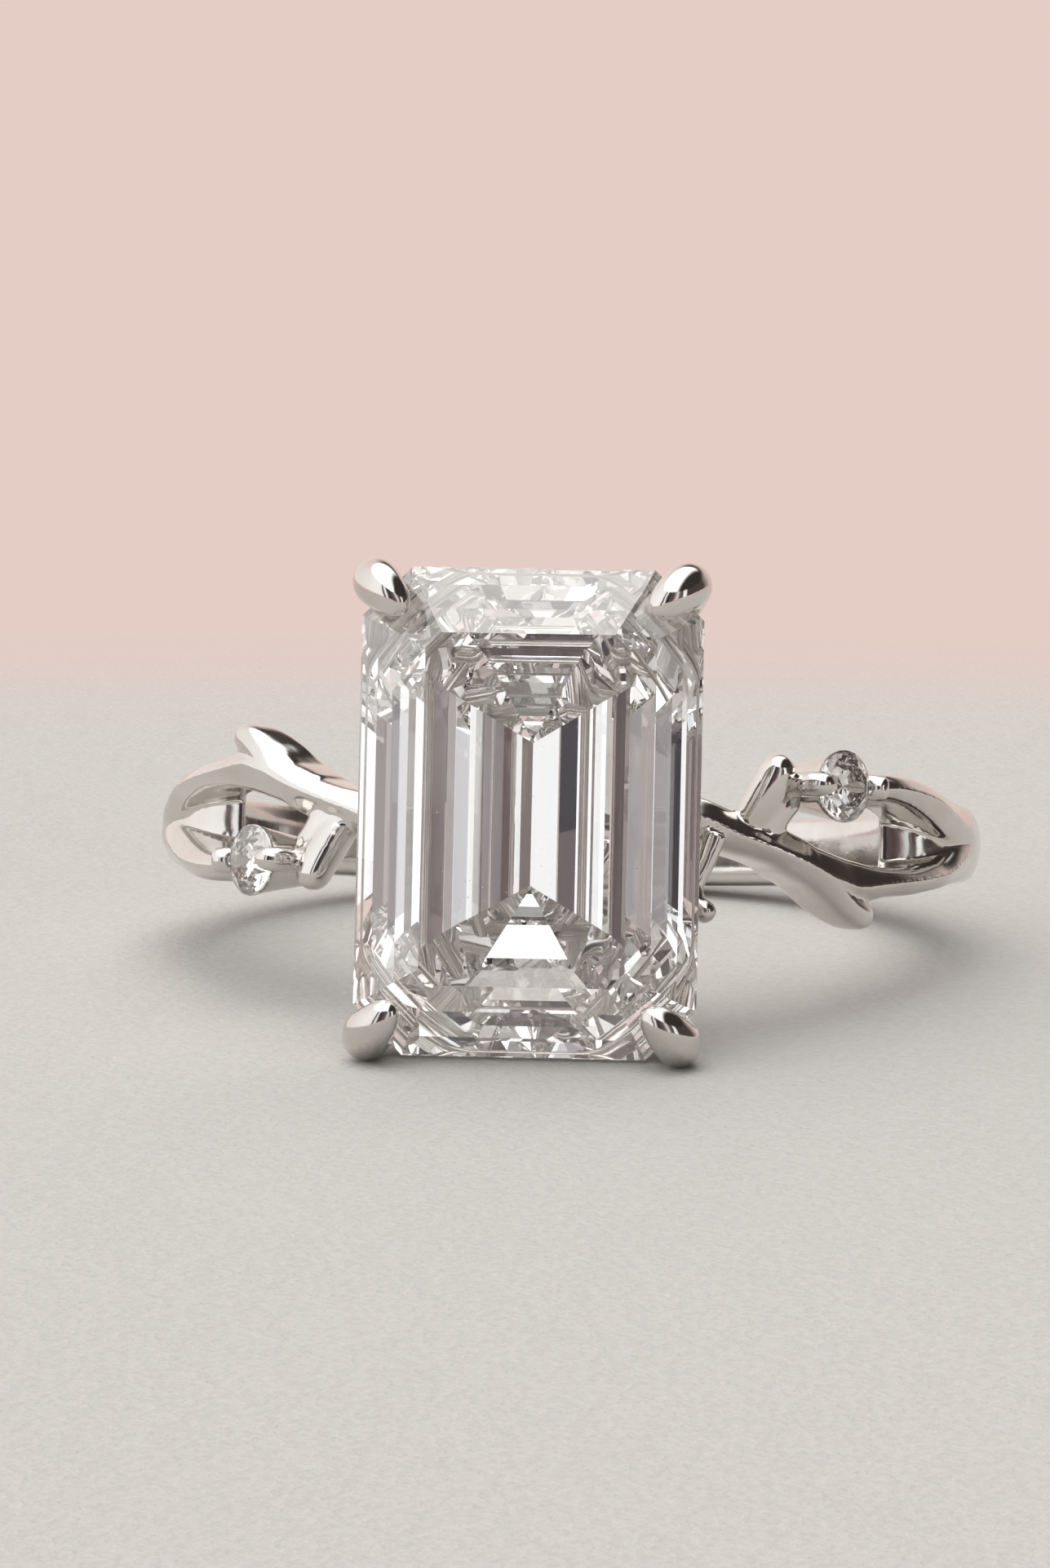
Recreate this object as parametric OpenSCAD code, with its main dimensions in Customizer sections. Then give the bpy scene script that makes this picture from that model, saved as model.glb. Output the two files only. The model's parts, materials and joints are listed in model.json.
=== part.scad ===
// Twig-band engagement ring, laid on its side as on a table.
// The ring frame has the finger bore along Z and the centre stone at -Y.
// Angles round the band run from the stone (0) towards +X.

/* [Band] */
// Inner radius of the finger bore
bore_r = 8.25; // [7.9:0.05:8.6]
// Radial thickness of the rear band
band_t = 1.6; // [1.5:0.05:1.8]
// Width of the rear band along the finger
band_w = 1.7; // [1.6:0.05:2]

/* [Centre stone] */
// Length of the step-cut centre stone along the finger
stone_l = 10.8; // [10.4:0.1:11.2]
// Width of the centre stone across the finger
stone_w = 7.6; // [7.3:0.1:7.9]
// Width taken off each corner of the centre stone
corner_cut = 1.1; // [1:0.05:1.2]
// Distance from the bore axis to the middle of the girdle
girdle_y = 13; // [12.9:0.05:13.2]

/* [Accent stones] */
// Diameter of each round accent stone
accent_d = 1.65; // [1.55:0.05:1.75]
// Angle of each accent stone round the band
accent_a = 41; // [40.5:0.5:41.5]

/* [Hidden] */

metal = "silver";
gem = "aliceblue";
// The ring rests on its two lower claws and on the back of the band.
rest_tilt = 11.45;
// Twigs start inside the bore and are then cut back to it.
stem_in = bore_r - 0.12;
branch_in = bore_r - 0.3;
fork_a = 64;
// Where the lower branch takes over from the stem, and where the bud stands on it.
elbow_a = 44;
elbow_z = -1.6;
bud_z = 0.1;
bud_from_a = 23.8;
bud_to_a = 29;
// The rails under the stone: half width, half length, corner cut, and distances from the bore axis.
base_rail_size = [2.35, 3.25, 0.9, 8.98, 9.75];
gallery_size = [3.1, 4.7, 1.45, 10.9, 11.6];
rail_w = 0.65;
// The hole that shows where two branches meet the rear band.
eye_r = 0.34;
// The accent cup: radius at the foot and at the rim, depth below the girdle, and its bore.
cup_foot_r = 0.56;
cup_rim_r = 0.79;
cup_low = -1.45;
cup_h = 1.4;
cup_bore_r = 0.34;
pin_x = 0.92;
// Half outline of an accent claw: [radius, height].
pin_outline = [[0, -1.2], [0.21, -1.2], [0.22, 0.12], [0.18, 0.27], [0.1, 0.35], [0, 0.37]];
// Steps of the stone, from the girdle: [inset, height].
crown_steps = [[0, 0], [0.42, 0.45], [0.97, 0.85], [1.52, 1.1]];
pavilion_steps = [[0, 0], [0.7, 1], [1.9, 2.16], [3.78, 3.46]];
girdle_t = 0.2;
// Corner widths of the outline at each step.
crown_corners = [corner_cut, 0.85, 0.6, 0.35];
pavilion_corners = [corner_cut, 1, 0.8, 0.02];
accent_r = accent_d / 2;
accent_lift = bore_r + 2.05;
accent_z = 0.97;
accent_lean = 5;
// Rings of facets of an accent stone: [share of radius, height in radii, corners, turn].
accent_levels = [
    [0.56, 0.3, 8, 0], [0.78, 0.17, 8, 22.5], [1, 0.03, 16, 0], [1, -0.03, 16, 0],
    [0.4, -0.5, 8, 22.5], [0.03, -0.86, 8, 0]
];
// Length over which the end of a twig is rounded, and a length that clears the whole ring.
twig_round = 0.42;
clear_l = 12;

// Rows along each twig: [angle, z, half width, outer radius].
stem_rows = [
    [-46, 2.15, 0.5, 9.8], [-40, 1.25, 0.55, 9.95], [-34, 0.62, 0.52, 9.9],
    [-25, 0.12, 0.48, 9.75], [-13, 0, 0.5, 9.5], [0, 0, 0.52, 9.35],
    [13, 0, 0.5, 9.5], [25, -0.12, 0.48, 9.75], [34, -0.62, 0.52, 9.9],
    [40, -1.25, 0.55, 9.95], [46, -2.15, 0.5, 9.8]
];
lower_rows = [
    [41, -1, 0.35, 9.7], [45, -1.12, 0.37, 9.76], [49, -1.12, 0.36, 9.83],
    [54, -1, 0.35, 9.85], [59, -0.8, 0.36, 9.85], [66, -0.52, 0.38, 9.85]
];
upper_rows = [
    [43, 0.98, 0.27, 9.5], [48, 1.03, 0.29, 9.7], [53, 1, 0.3, 9.85],
    [58, 0.82, 0.34, 9.85], [66, 0.52, 0.38, 9.85]
];
bud_rows = [
    [25, 0.05, 0.34, 9.5], [28.5, 0.6, 0.42, 9.8], [31.5, 1.1, 0.46, 10], [34, 1.55, 0.44, 10.05]
];
// Rows along free twigs and claws: [x, y, z, radius].
root_rows = [
    [3.95, -8.95, -0.25, 0.22], [3.7, -9.05, -0.9, 0.23], [3.45, -9.1, -1.45, 0.23],
    [3.55, -9.15, -1.85, 0.26], [3.95, -9.2, -2.1, 0.3]
];
claw_rows = [
    [1.85, -9.3, 2.7, 0.4], [2.2, -10.2, 3.2, 0.42], [2.7, -11.4, 3.95, 0.44],
    [3.22, -12.6, 4.7, 0.47], [3.36, -13.35, 4.93, 0.49], [3.28, -13.85, 4.84, 0.46],
    [3.02, -14.1, 4.62, 0.41], [2.76, -14.12, 4.4, 0.34]
];
// Half of a twig's section, [across, up], with a ridge along the middle of the outside.
half_section = [[0, 0], [0.76, 0.04], [1, 0.32], [0.9, 0.66], [0.48, 0.89], [0, 1]];
twig_section = concat(half_section, [for (i = [4:-1:1]) [-half_section[i][0], half_section[i][1]]]);
round_section = [for (i = [0:11]) [cos(30 * i), (1 + sin(30 * i)) / 2]];

function unit(v) = v / norm(v);
function clamp_row(t, i) = t[max(0, min(len(t) - 1, i))];
// A smooth curve through the rows of t, at place u in rows.
function smooth(t, u) =
    let (i = floor(u), f = u - i, p = [for (k = [-1:2]) clamp_row(t, i + k)])
    (2 * p[1] + (p[2] - p[0]) * f + (2 * p[0] - 5 * p[1] + 4 * p[2] - p[3]) * f ^ 2
        + (3 * p[1] - p[0] - 3 * p[2] + p[3]) * f ^ 3) / 2;
function on_band(a, r, z) = [r * sin(a), -r * cos(a), z];
// How much of the full section is left at distance d from a round end of length c.
function rounding(d, c) = d >= c ? 1 : max(0.45, sqrt(1 - (1 - d / c) ^ 2));
// Places of the rings, three to a row, with a few more at each rounded end.
function places(last, round_start, round_end) = concat(
    round_start ? [0, 0.07, 0.18] : [0],
    [for (i = [1:3 * last - 1]) i / 3],
    round_end ? [last - 0.18, last - 0.07, last] : [last]
);

// One ring of a twig at place u: its centre, way and outward direction come from the band.
function twig_centre(t, u, inner) = let (s = smooth(t, u)) on_band(s[0], (inner + s[3]) / 2, s[1]);
function twig_ring(t, u, last, inner, round_start, round_end) =
    let (
        s = smooth(t, u), c = twig_centre(t, u, inner),
        way = unit(twig_centre(t, min(u + 0.02, last), inner) - twig_centre(t, max(u - 0.02, 0), inner)),
        out = on_band(s[0], 1, 0), side = unit(cross(way, out)),
        k = rounding(norm(c - twig_centre(t, last, inner)), round_end ? twig_round : 0)
            * rounding(norm(c - twig_centre(t, 0, inner)), round_start ? twig_round : 0)
    )
    [for (q = twig_section) c + side * s[2] * q[0] * k + out * (s[3] - inner) * (q[1] - 0.5) * k];

// One ring of a round wire at place u.
function wire_place(t, u) = let (s = smooth(t, u)) [s[0], s[1], s[2]];
function wire_ring(t, u, last, ref) =
    let (
        r = smooth(t, u)[3], c = wire_place(t, u),
        way = unit(wire_place(t, min(u + 0.02, last)) - wire_place(t, max(u - 0.02, 0))),
        side = unit(cross(way, ref)), out = cross(side, way),
        k = rounding(norm(c - wire_place(t, last)), r)
    )
    [for (q = round_section) c + side * r * q[0] * k + out * r * (2 * q[1] - 1) * k];

module skin(rings) {
    m = len(rings[0]);
    n = len(rings);
    points = [for (ring = rings) each ring];
    sides = [for (i = [0:n - 2], j = [0:m - 1])
        let (k = (j + 1) % m) each [
            [i * m + j, i * m + k, (i + 1) * m + j],
            [i * m + k, (i + 1) * m + k, (i + 1) * m + j]
        ]];
    ends = [[for (j = [m - 1:-1:0]) j], [for (j = [0:m - 1]) (n - 1) * m + j]];
    polyhedron(points, concat(sides, ends));
}

module twig(rows, inner, round_start = false, round_end = false) {
    last = len(rows) - 1;
    skin([for (u = places(last, round_start, round_end))
        twig_ring(rows, u, last, inner, round_start, round_end)]);
}

module wire(rows, ref) {
    last = len(rows) - 1;
    skin([for (u = places(last, false, true)) wire_ring(rows, u, last, ref)]);
}

module stem_twig() twig(stem_rows, stem_in, true, true);

// The part of the band's space between angles a and b and heights z0 and z1, outside the bore.
module sector(a, b, z0, z1, inner = bore_r) rotate([0, 0, a - 90])
    rotate_extrude(angle = b - a, $fn = 128) translate([inner, z0]) square([3, z1 - z0]);

// Turns the ring frame so that the ring lies on its side.
module laid() rotate([-rest_tilt, 0, 0]) children();

// The two sides are the same, half a turn apart about the stone's own axis.
module on_side(s) rotate([0, s > 0 ? 0 : 180, 0]) children();

module band_profile() intersection() {
    translate([bore_r, -band_w / 2]) square([band_t, band_w]);
    translate([bore_r + 0.15, 0]) circle(r = band_t - 0.15, $fn = 96);
}

module eye_end(side) rotate([0, 0, side * (fork_a - 0.5)]) rotate([90, 0, 0])
    cylinder(r = eye_r, h = clear_l, $fn = 48);

module shank_solid() difference() {
    rotate([0, 0, fork_a - 90]) rotate_extrude(angle = 360 - 2 * fork_a, $fn = 128) band_profile();
    eye_end(1);
    eye_end(-1);
}

// Octagonal outline of the stone, inset from the girdle and at height y.
function outline(inset, corner, y) =
    let (w = max(0.02, stone_w / 2 - inset), l = stone_l / 2 - inset, c = corner)
    [for (q = [[w, l - c], [w - c, l]], s = [[1, 1], [-1, 1], [-1, -1], [1, -1]])
        [q[0] * s[0], y, q[1] * s[1]]];

module stone_solid() {
    crown_y = -girdle_y - girdle_t / 2;
    pavilion_y = -girdle_y + girdle_t / 2;
    points = concat(
        [for (i = [0:3]) each outline(crown_steps[i][0], crown_corners[i], crown_y - crown_steps[i][1])],
        [for (i = [0:3])
            each outline(pavilion_steps[i][0], pavilion_corners[i], pavilion_y + pavilion_steps[i][1])]
    );
    hull() polyhedron(points, [[for (i = [0:len(points) - 1]) i]]);
}

// Puts a part at the accent stone's girdle, with +Z outwards from the band.
module at_accent() rotate([0, 0, accent_a]) translate([0, -accent_lift, accent_z])
    rotate([0, 0, accent_lean]) rotate([90, 0, 0]) children();

module accent_solid() {
    points = [for (v = accent_levels, i = [0:v[2] - 1])
        [accent_r * v[0] * cos(360 * i / v[2] + v[3]), accent_r * v[0] * sin(360 * i / v[2] + v[3]),
            accent_r * v[1]]];
    hull() polyhedron(points, [[for (i = [0:len(points) - 1]) i]]);
}

module accent_pin(way) translate([way * pin_x, 0, 0]) rotate_extrude($fn = 32) polygon(pin_outline);

module cup_outside() translate([0, 0, cup_low])
    cylinder(r1 = cup_foot_r, r2 = cup_rim_r, h = cup_h, $fn = 48);

module rail(size) rotate([90, 0, 0]) translate([0, 0, size[3]])
    linear_extrude(size[4] - size[3]) difference() {
        polygon(octagon(size[0], size[1], size[2]));
        polygon(octagon(size[0] - rail_w, size[1] - rail_w, size[2] - 0.4 * rail_w));
    }

function octagon(w, l, c) = [
    [w, l - c], [w - c, l], [c - w, l], [-w, l - c], [-w, c - l], [c - w, -l], [w - c, -l], [w, c - l]
];

module base_rail_solid() rail(base_rail_size);

module gallery_solid() rail(gallery_size);

module rear_shank() laid() color(metal) shank_solid();

module cross_stem() laid() color(metal) difference() {
    stem_twig();
    cylinder(r = bore_r, h = clear_l, center = true, $fn = 128);
    for (s = [1, -1]) on_side(s) {
        sector(elbow_a, 60, elbow_z, 0.5, bore_r - 0.5);
        sector(bud_from_a, bud_to_a, bud_z, 1, bore_r - 0.5);
    }
    base_rail_solid();
}

module lower_branch(s) laid() color(metal) on_side(s) intersection() {
    twig(lower_rows, branch_in);
    sector(elbow_a, fork_a, elbow_z, 0.5);
}

module upper_branch(s) laid() color(metal) on_side(s) difference() {
    intersection() {
        twig(upper_rows, branch_in);
        sector(40, fork_a, 0, 2);
    }
    at_accent() cup_outside();
    at_accent() accent_pin(1);
}

module bud(s) laid() color(metal) on_side(s) difference() {
    intersection() {
        twig(bud_rows, branch_in, false, true);
        sector(20, 40, bud_z, 2.5);
    }
    at_accent() cup_outside();
    at_accent() accent_pin(-1);
}

module root_twig(s) laid() color(metal) on_side(s) difference() {
    wire(root_rows, [0, 1, 0]);
    stem_twig();
}

module accent_cup(s) laid() color(metal) on_side(s) at_accent() difference() {
    cup_outside();
    translate([0, 0, 2 * cup_low]) cylinder(r = cup_bore_r, h = -2 * cup_low, $fn = 32);
    accent_solid();
    accent_pin(1);
    accent_pin(-1);
}

module accent_claw(s, way) laid() color(metal) on_side(s) at_accent() difference() {
    accent_pin(way);
    accent_solid();
}

module accent_stone(s) laid() color(gem) on_side(s) at_accent() accent_solid();

module base_rail() laid() color(metal) base_rail_solid();

module gallery_rail() laid() color(metal) difference() {
    gallery_solid();
    stone_solid();
}

module corner_claw(x, z) laid() color(metal) difference() {
    mirror([x, 0, 0]) mirror([0, 0, z]) wire(claw_rows, [1, 0, -1]);
    stone_solid();
    base_rail_solid();
    gallery_solid();
}

module centre_stone() laid() color(gem) stone_solid();

rear_shank();
cross_stem();
upper_branch(1);  // right_upper_branch
lower_branch(1);  // right_lower_branch
lower_branch(-1);  // left_upper_branch
upper_branch(-1);  // left_lower_branch
bud(1);  // right_bud
bud(-1);  // left_bud
root_twig(1);  // right_root_twig
root_twig(-1);  // left_root_twig
accent_cup(1);  // right_accent_cup
accent_cup(-1);  // left_accent_cup
accent_claw(1, -1);  // right_accent_inner_claw
accent_claw(1, 1);  // right_accent_outer_claw
accent_claw(-1, -1);  // left_accent_inner_claw
accent_claw(-1, 1);  // left_accent_outer_claw
accent_stone(1);  // right_accent_stone
accent_stone(-1);  // left_accent_stone
base_rail();
gallery_rail();
corner_claw(1, 0);  // claw_top_left
corner_claw(0, 0);  // claw_top_right
corner_claw(1, 1);  // claw_bottom_left
corner_claw(0, 1);  // claw_bottom_right
centre_stone();
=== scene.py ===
"""Twig-band engagement ring with a step-cut centre stone, lying on a pale cloth.

Every shape is worked out in ring millimetres: the finger bore runs along Z, the centre stone
faces -Y, and angles round the band are counted from the stone towards +X. RingFrame turns
that into the frame's metres, in which the ring lies on its side.
"""

import json
import logging
import math
from dataclasses import dataclass
from enum import Enum
from typing import Iterable, Sequence

import bmesh
import bpy
from mathutils import Matrix, Vector

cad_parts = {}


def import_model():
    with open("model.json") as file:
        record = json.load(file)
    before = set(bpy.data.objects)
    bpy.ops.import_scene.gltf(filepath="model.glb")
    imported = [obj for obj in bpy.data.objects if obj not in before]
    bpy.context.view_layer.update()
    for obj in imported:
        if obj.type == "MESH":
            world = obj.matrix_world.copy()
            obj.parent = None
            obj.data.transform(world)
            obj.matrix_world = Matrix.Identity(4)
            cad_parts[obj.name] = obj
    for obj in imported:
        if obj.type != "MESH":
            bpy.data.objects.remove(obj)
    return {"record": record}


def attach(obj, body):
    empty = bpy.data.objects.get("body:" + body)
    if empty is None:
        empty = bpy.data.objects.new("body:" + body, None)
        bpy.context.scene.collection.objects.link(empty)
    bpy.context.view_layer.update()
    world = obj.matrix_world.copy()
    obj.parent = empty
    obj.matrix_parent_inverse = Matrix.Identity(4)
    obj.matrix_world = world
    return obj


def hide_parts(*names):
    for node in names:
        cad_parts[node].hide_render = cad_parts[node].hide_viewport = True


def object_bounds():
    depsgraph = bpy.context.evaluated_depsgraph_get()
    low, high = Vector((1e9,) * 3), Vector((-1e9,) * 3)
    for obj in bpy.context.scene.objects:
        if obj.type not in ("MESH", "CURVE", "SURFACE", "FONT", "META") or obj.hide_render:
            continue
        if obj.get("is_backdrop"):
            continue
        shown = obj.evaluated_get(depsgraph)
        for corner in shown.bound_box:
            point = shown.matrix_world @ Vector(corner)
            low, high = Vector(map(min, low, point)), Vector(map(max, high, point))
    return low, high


LOG = logging.getLogger("ring")
MM = 0.001
BODY = "root"
# Edges that turn more than this stay sharp on a turned or cast piece.
CREASE_DEG = 40
# Sockets of a Mix node that is set to colours.
MIX_SHARE, MIX_FIRST, MIX_SECOND, MIX_RESULT = 0, 6, 7, 2


class Slot(Enum):
    """The record's material slots."""

    METAL = "white_gold"
    GEM = "diamond"


class Side(Enum):
    """The two halves of the ring, half a turn apart about the stone's own axis."""

    RIGHT = 1
    LEFT = -1

    @property
    def word(self) -> str:
        """The side's name as the nodes spell it."""
        return self.name.lower()

    @property
    def turn(self) -> Matrix:
        """Carries a right-hand shape to this side."""
        return Matrix.Rotation(0.0 if self is Side.RIGHT else math.pi, 4, "Y")


@dataclass(frozen=True)
class RingFrame:
    """The ring's own millimetres, and where they lie in the frame.

    Attributes:
        tilt: how far the ring leans about X from lying flat, in radians.
    """

    tilt: float

    @classmethod
    def from_record(cls, record: dict) -> "RingFrame":
        """Reads the lean from the finger bore's axis.

        Args:
            record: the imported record.

        Returns:
            The ring's frame.
        """
        axis = record["mounts"][0]["axis"]
        return cls(math.atan2(axis[1], axis[2]))

    @property
    def matrix(self) -> Matrix:
        """Ring millimetres to frame metres."""
        return Matrix.Rotation(-self.tilt, 4, "X") @ Matrix.Scale(MM, 4)

    def point(self, place: Sequence[float]) -> Vector:
        """Carries a point from ring millimetres to frame metres."""
        return self.matrix @ Vector(place)


# ---------------------------------------------------------------- node helpers


class Nodes:
    """A short hand for writing a node tree."""

    def __init__(self, tree: bpy.types.NodeTree) -> None:
        """Starts from an empty tree.

        Args:
            tree: the tree to write in.
        """
        self.tree = tree
        tree.nodes.clear()

    def add(self, kind: str, **settings: object) -> bpy.types.Node:
        """Adds a node.

        Args:
            kind: the node's type name without ShaderNode.
            settings: properties to set on the node.

        Returns:
            The new node.
        """
        node = self.tree.nodes.new("ShaderNode" + kind)
        for name, value in settings.items():
            setattr(node, name, value)
        return node

    def link(self, source: bpy.types.NodeSocket, target: bpy.types.NodeSocket) -> None:
        """Joins an output socket to an input socket."""
        self.tree.links.new(source, target)

    def feed(self, node: bpy.types.Node, **inputs: object) -> bpy.types.Node:
        """Sets or links a node's inputs by name, with _ for a space.

        Args:
            node: the node to feed.
            inputs: values, or output sockets to link.

        Returns:
            The same node.
        """
        for name, value in inputs.items():
            socket = node.inputs[name.replace("_", " ")]
            if isinstance(value, bpy.types.NodeSocket):
                self.link(value, socket)
            else:
                socket.default_value = value
        return node

    def millimetres(self, stretch: Sequence[float] = (1, 1, 1)) -> bpy.types.NodeSocket:
        """Reads Object coordinates in millimetres.

        Args:
            stretch: factors on the three axes.

        Returns:
            The coordinates' socket.
        """
        place = self.add("TexCoord")
        scaled = self.add("Mapping")
        self.link(place.outputs["Object"], scaled.inputs["Vector"])
        scaled.inputs["Scale"].default_value = [s / MM for s in stretch]
        return scaled.outputs["Vector"]

    def noise(
        self,
        where: bpy.types.NodeSocket,
        scale: float,
        detail: float = 2.0,
    ) -> bpy.types.NodeSocket:
        """Adds a noise.

        Args:
            where: the coordinates that it reads.
            scale: how many of its lumps there are to a unit.
            detail: how many finer layers it has.

        Returns:
            The noise's value.
        """
        node = self.add("TexNoise")
        self.feed(node, Vector=where, Scale=scale, Detail=detail)
        return node.outputs["Fac"]

    def remap(
        self,
        value: bpy.types.NodeSocket,
        low: float,
        high: float,
        to_low: float,
        to_high: float,
        smooth: bool = False,
    ) -> bpy.types.NodeSocket:
        """Maps a value's range onto another, clamped.

        Args:
            value: the value.
            low: where its range starts.
            high: where its range ends.
            to_low: what the start becomes.
            to_high: what the end becomes.
            smooth: whether the way between them eases in and out.

        Returns:
            The mapped value.
        """
        node = self.add("MapRange", interpolation_type="SMOOTHSTEP" if smooth else "LINEAR")
        self.feed(node, Value=value, From_Min=low, From_Max=high, To_Min=to_low, To_Max=to_high)
        return node.outputs["Result"]

    def blend(
        self,
        share: bpy.types.NodeSocket,
        first: object,
        second: object,
    ) -> bpy.types.NodeSocket:
        """Mixes two colours.

        Args:
            share: how much of the second one there is.
            first: a colour or a colour socket.
            second: a colour or a colour socket.

        Returns:
            The mixed colour.
        """
        node = self.add("Mix", data_type="RGBA")
        self.link(share, node.inputs[MIX_SHARE])
        for socket, value in ((node.inputs[MIX_FIRST], first), (node.inputs[MIX_SECOND], second)):
            if isinstance(value, bpy.types.NodeSocket):
                self.link(value, socket)
            else:
                socket.default_value = (*value, 1.0)
        return node.outputs[MIX_RESULT]

    def either(
        self,
        share: bpy.types.NodeSocket,
        first: bpy.types.NodeSocket,
        second: bpy.types.NodeSocket,
    ) -> bpy.types.NodeSocket:
        """Mixes two shaders.

        Args:
            share: how much of the second one there is.
            first: the first shader.
            second: the second shader.

        Returns:
            The mixed shader.
        """
        node = self.add("MixShader")
        for socket, source in zip(node.inputs, (share, first, second)):
            self.link(source, socket)
        return node.outputs[0]

    def past(self, value: bpy.types.NodeSocket, edge: Sequence[float]) -> bpy.types.NodeSocket:
        """Tells how far a value is past an edge, easing from 0 to 1.

        Args:
            value: the value.
            edge: where the way over the edge starts and ends.

        Returns:
            The share, from 0 to 1.
        """
        return self.remap(value, *edge, to_low=0.0, to_high=1.0, smooth=True)

    def finish(self, kind: str, shader: bpy.types.NodeSocket) -> None:
        """Ends the tree.

        Args:
            kind: the output node's type name without ShaderNode.
            shader: what it shows.
        """
        self.link(shader, self.add(kind).inputs["Surface"])

    def bump(
        self,
        height: bpy.types.NodeSocket,
        depth: float,
        strength: float,
        under: bpy.types.NodeSocket | None = None,
    ) -> bpy.types.NodeSocket:
        """Adds a bump.

        Args:
            height: its height, from 0 to 1.
            depth: its depth in millimetres.
            strength: how much of it shows.
            under: the normal that it lies on; None for the bare surface.

        Returns:
            The new normal.
        """
        node = self.add("Bump")
        self.feed(node, Height=height, Distance=depth * MM, Strength=strength)
        if under:
            self.link(under, node.inputs["Normal"])
        return node.outputs["Normal"]


# ---------------------------------------------------------------- finishes


def bare_material(name: str) -> tuple[bpy.types.Material, Nodes]:
    """Starts a material.

    Args:
        name: its name.

    Returns:
        The material, and its empty node tree.
    """
    made = bpy.data.materials.new(name)
    made.use_nodes = True
    return made, Nodes(made.node_tree)


@dataclass(frozen=True)
class PolishedGold:
    """Rhodium-plated white gold, hand polished, with hair-fine wear.

    Attributes:
        name: the finish's name.
        colour: the metal's own reflectance.
        warm: the reflectance where the plating is a little thinner.
        warm_from: the heights of the slow waves between which it turns warm.
        smoothest: roughness of the best polished places.
        roughest: roughness of the least polished places.
        rough_from: the heights of the slow waves between which it turns rough.
        wave_scale: slow waves that hand polishing leaves, to a millimetre.
        wave: their depth, in millimetres.
        grain_scale: grains to a millimetre.
        grain: their depth, in millimetres.
        scratch_scale: hair-fine scratches to a millimetre, along each axis.
        scratch: their depth, in millimetres.
    """

    name: str = "polished_white_gold"
    colour: tuple = (0.70, 0.685, 0.66)
    warm: tuple = (0.64, 0.61, 0.575)
    warm_from: tuple = (0.35, 0.7)
    smoothest: float = 0.05
    roughest: float = 0.15
    rough_from: tuple = (0.3, 0.7)
    wave_scale: float = 0.9
    wave: float = 0.02
    grain_scale: float = 14.0
    grain: float = 0.0012
    scratch_scale: tuple = (3.0, 40.0, 9.0)
    scratch: float = 0.0008

    def material(self) -> bpy.types.Material:
        """Writes the metal's material.

        Returns:
            The material.
        """
        made, nodes = bare_material(self.name)
        where = nodes.millimetres()
        waves = nodes.noise(where, self.wave_scale, detail=3.0)
        grain = nodes.noise(where, self.grain_scale, detail=3.0)
        hairs = nodes.noise(nodes.millimetres(self.scratch_scale), scale=1.0, detail=2.0)
        worn_off = nodes.remap(waves, *self.warm_from, to_low=0.0, to_high=1.0)
        colour = nodes.blend(worn_off, self.colour, self.warm)
        rough = nodes.remap(waves, *self.rough_from, to_low=self.smoothest, to_high=self.roughest)
        waved = nodes.bump(waves, self.wave, strength=0.35)
        fine = nodes.bump(grain, self.grain, strength=0.5, under=waved)
        worn = nodes.bump(hairs, self.scratch, strength=0.5, under=fine)
        shader = nodes.add("BsdfPrincipled")
        nodes.feed(shader, Base_Color=colour, Metallic=1.0, Roughness=rough, Normal=worn)
        nodes.finish("OutputMaterial", shader.outputs[0])
        return made


@dataclass(frozen=True)
class CutDiamond:
    """Near-colourless diamond with a few specks of dust on its facets.

    Attributes:
        name: the finish's name.
        body: the stone's own tint.
        dust: the colour of the specks.
        dust_scale: how many places there are for a speck, to a millimetre.
        dust_share: the noise value above which a speck shows.
        speck_edge: how far above it the speck is whole.
        dust_rough: the specks' roughness.
        bends: the stone's refractive index.
    """

    name: str = "cut_diamond"
    body: tuple = (0.995, 0.995, 0.99)
    dust: tuple = (0.85, 0.83, 0.80)
    dust_scale: float = 9.0
    dust_share: float = 0.8
    speck_edge: float = 0.03
    dust_rough: float = 0.35
    bends: float = 2.42

    def material(self) -> bpy.types.Material:
        """Writes the stone's material.

        Returns:
            The material.
        """
        made, nodes = bare_material(self.name)
        specks = nodes.noise(nodes.millimetres(), self.dust_scale, detail=1.0)
        dusty = nodes.remap(specks, self.dust_share, self.dust_share + self.speck_edge, 0.0, 1.0)
        colour = nodes.blend(dusty, self.body, self.dust)
        rough = nodes.remap(dusty, 0.0, 1.0, 0.0, self.dust_rough)
        shader = nodes.add("BsdfPrincipled")
        nodes.feed(shader, Base_Color=colour, Roughness=rough, IOR=self.bends, Transmission_Weight=1.0)
        nodes.finish("OutputMaterial", shader.outputs[0])
        return made


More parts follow.
